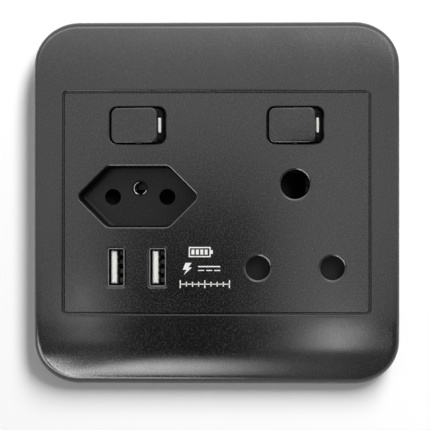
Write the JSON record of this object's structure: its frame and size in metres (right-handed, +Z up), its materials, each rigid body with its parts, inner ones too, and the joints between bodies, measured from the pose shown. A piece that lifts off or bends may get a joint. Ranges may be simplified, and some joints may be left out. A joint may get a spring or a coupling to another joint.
{
  "type": "usb wall socket",
  "caption": "Square wall plate with rocker switches, a hexagonal recessed socket, a large round-pin socket and USB charging ports.",
  "frame": {"origin": "middle of the square cover on the wall plane, midway between the two fixing holes", "axes": "+X to the right and +Z up as seen from the room, +Y into the wall"},
  "size_m": [0.125, 0.0477, 0.125],
  "materials": {
    "cover": "satin moulded, fine spark-eroded texture",
    "face": "fine matte moulded",
    "well": "smooth moulded",
    "rocker": "fine matte moulded",
    "white_mark": "smooth",
    "housing": "matte moulded",
    "yoke_steel": "zinc plated",
    "brass": "stamped and rolled",
    "silver": "polished contact metal",
    "steel": "zinc plated",
    "spring_steel": "drawn wire",
    "shutter": "smooth moulded",
    "port_metal": "dark nickel plated",
    "insulator": "smooth",
    "contact_metal": "plated",
    "board": "solder mask",
    "wound_core": "ferrite with a taped winding",
    "can": "drawn can",
    "chip": "moulded"
  },
  "bodies": {
    "socket_body": {"cover_frame": "cover", "socket_face": "face", "hex_insert": "well", "mounting_yoke": "yoke_steel", "rear_housing": "housing", "live_bar": "brass", "round_live_contact": "brass", "hex_live_contact": "brass", "neutral_bar": "brass", "earth_bar": "brass", "round_shutter_spring": "spring_steel", "hex_shutter_spring": "spring_steel", "usb_board": "board", "usb_feed_pins": "contact_metal", "usb_transformer": "wound_core", "usb_capacitor": "can", "usb_chip": "chip", "board_screws": "steel", "housing_screws": "steel", "left_fixed_button": "silver", "usb_left_shell": "port_metal", "usb_left_tongue": "insulator", "usb_left_contacts": "contact_metal", "right_fixed_button": "silver", "usb_right_shell": "port_metal", "usb_right_tongue": "insulator", "usb_right_contacts": "contact_metal", "live_terminal": "brass", "live_terminal_screw": "steel", "earth_terminal": "brass", "earth_terminal_screw": "steel", "neutral_terminal": "brass", "neutral_terminal_screw": "steel"},
    "round_slide": {"round_shutter": "shutter"},
    "hex_slide": {"hex_shutter": "shutter"},
    "left_rocker_body": {"left_rocker": "rocker", "left_rocker_mark": "white_mark", "left_plunger": "insulator", "left_plunger_spring": "spring_steel"},
    "left_bridge": {"left_moving_contact": "brass", "left_moving_button": "silver"},
    "right_rocker_body": {"right_rocker": "rocker", "right_rocker_mark": "white_mark", "right_plunger": "insulator", "right_plunger_spring": "spring_steel"},
    "right_bridge": {"right_moving_contact": "brass", "right_moving_button": "silver"}
  },
  "joints": [
    {"name": "left_rocker_pivot", "type": "hinge", "parent": "socket_body", "child": "left_rocker_body", "pos_m": [-0.0269, -0.008, 0.0264], "axis": [0, 0, 1], "range_deg": [0, 18]},
    {"name": "left_bridge_pivot", "type": "hinge", "parent": "socket_body", "child": "left_bridge", "pos_m": [-0.0269, 0.01184, 0.0264], "axis": [0, 0, 1], "range_deg": [-12.1, 0]},
    {"name": "right_rocker_pivot", "type": "hinge", "parent": "socket_body", "child": "right_rocker_body", "pos_m": [0.0269, -0.008, 0.0264], "axis": [0, 0, 1], "range_deg": [0, 18]},
    {"name": "right_bridge_pivot", "type": "hinge", "parent": "socket_body", "child": "right_bridge", "pos_m": [0.0269, 0.01184, 0.0264], "axis": [0, 0, 1], "range_deg": [-12.1, 0]},
    {"name": "round_shutter_slide", "type": "slide", "parent": "socket_body", "child": "round_slide", "axis": [-1, 0, 0], "range_m": [0, 0.0087], "stiffness_N_per_m": 50, "springref_m": -0.005, "deforming": ["round_shutter_spring"]},
    {"name": "hex_shutter_slide", "type": "slide", "parent": "socket_body", "child": "hex_slide", "axis": [0, 0, -1], "range_m": [0, 0.006], "stiffness_N_per_m": 50, "springref_m": -0.005, "deforming": ["hex_shutter_spring"]}
  ],
  "couplings": [
    {"joint": "left_bridge_pivot", "follows": "left_rocker_pivot", "ratio": -0.6667},
    {"joint": "right_bridge_pivot", "follows": "right_rocker_pivot", "ratio": -0.6667}
  ]
}
